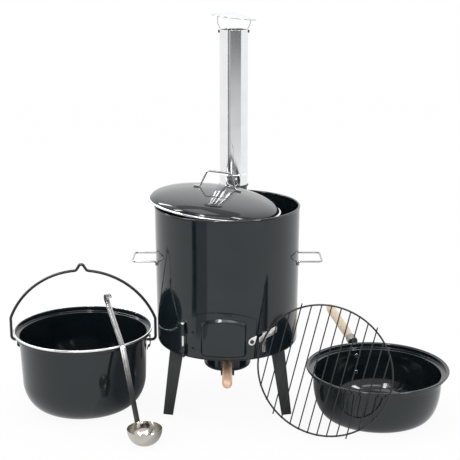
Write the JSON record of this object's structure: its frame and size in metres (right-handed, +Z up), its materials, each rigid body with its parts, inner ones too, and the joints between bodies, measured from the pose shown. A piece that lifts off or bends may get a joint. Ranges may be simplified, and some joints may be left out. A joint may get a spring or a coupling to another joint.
{
  "type": "cauldron stove set",
  "caption": "Enamelled drum stove on three legs with chimney, fire door and ash bowl, with lid, cauldron, pan, grill grate and ladle.",
  "frame": {"origin": "centre of the whole set's box, on the ground", "axes": "+Z up, +X to the right as seen from the fire door's side, -Y towards the front where the fire door is"},
  "size_m": [1.0058, 0.5564, 0.8909],
  "materials": {
    "enamel": "glossy black enamel on sheet steel",
    "black_steel": "satin black steel",
    "iron": "dark cast iron",
    "stainless": "polished stainless steel",
    "zinc": "zinc-plated steel",
    "beech": "turned light wood, lacquered"
  },
  "bodies": {
    "stove": {"stove_body": "enamel", "leg_1": "black_steel", "leg_2": "black_steel", "leg_3": "black_steel", "leg_bolt_1": "black_steel", "leg_bolt_2": "black_steel", "leg_bolt_3": "black_steel", "leg_nut_1": "zinc", "leg_nut_2": "zinc", "leg_nut_3": "zinc", "side_handle_left": "stainless", "side_handle_right": "stainless", "support_bracket_1": "black_steel", "support_bracket_2": "black_steel", "support_bracket_3": "black_steel", "fire_grate": "iron", "hinge_leaf_body_1": "black_steel", "hinge_leaf_body_2": "black_steel", "hinge_pin": "zinc", "latch_keeper": "zinc", "flue_elbow": "black_steel", "flue_collar": "black_steel", "ash_rail_left": "black_steel", "ash_rail_right": "black_steel"},
    "door": {"door_panel": "enamel", "hinge_leaf_door_1": "black_steel", "hinge_leaf_door_2": "black_steel", "latch_rivet": "black_steel"},
    "latch": {"latch_lever": "zinc"},
    "chimney": {"chimney_pipe": "stainless", "cap": "stainless", "cap_strip_left": "stainless", "cap_strip_right": "stainless", "cap_screw_left": "black_steel", "cap_screw_right": "black_steel"},
    "lid": {"lid_dome": "enamel", "lid_trim": "stainless", "lid_handle": "stainless"},
    "ash": {"ash_bowl": "enamel", "ash_ferrule": "black_steel", "ash_grip": "beech"},
    "cauldron": {"cauldron_pot": "enamel", "cauldron_trim": "stainless", "cauldron_ear_left": "black_steel", "cauldron_ear_right": "black_steel"},
    "bail_arm": {"bail": "black_steel"},
    "ladle": {"ladle_bowl": "stainless", "ladle_handle": "stainless", "ladle_rivet_1": "stainless", "ladle_rivet_2": "stainless"},
    "pan": {"pan_bowl": "enamel", "pan_socket": "stainless", "pan_grip": "beech", "pan_rivet_1": "stainless", "pan_rivet_2": "stainless"},
    "grate": {"grill_grate": "black_steel"}
  },
  "joints": [
    {"name": "door_swing", "type": "hinge", "parent": "stove", "child": "door", "pos_m": [-0.09788, -0.13579, 0.157], "axis": [0, 0, -1], "range_deg": [0, 110]},
    {"name": "latch_turn", "type": "hinge", "parent": "door", "child": "latch", "pos_m": [0.05366, -0.15362, 0.2006], "axis": [0.3272, -0.9449, 0], "range_deg": [-49, 40]},
    {"name": "chimney_lift", "type": "slide", "parent": "stove", "child": "chimney", "axis": [0, 0, 1], "range_m": [0, 0.1]},
    {"name": "lid_lift", "type": "slide", "parent": "stove", "child": "lid", "axis": [0, 0, 1], "range_m": [0, 0.25]},
    {"name": "ash_slide", "type": "slide", "parent": "stove", "child": "ash", "axis": [0, -1, 0], "range_m": [0, 0.2]},
    {"name": "cauldron_move", "type": "slide", "parent": "stove", "child": "cauldron", "axis": [-0.7071, 0, 0.7071], "range_m": [0, 0.2]},
    {"name": "bail_swing", "type": "hinge", "parent": "cauldron", "child": "bail_arm", "pos_m": [-0.33335, -0.01405, 0.1565], "axis": [1, 0, 0], "range_deg": [-76, 76]},
    {"name": "ladle_lift", "type": "slide", "parent": "cauldron", "child": "ladle", "axis": [0, 0, 1], "range_m": [0, 0.25]},
    {"name": "pan_move", "type": "slide", "parent": "stove", "child": "pan", "axis": [0.7071, 0, 0.7071], "range_m": [0, 0.2]},
    {"name": "grate_lift", "type": "slide", "parent": "pan", "child": "grate", "axis": [0, 0, 1], "range_m": [0, 0.3]}
  ]
}
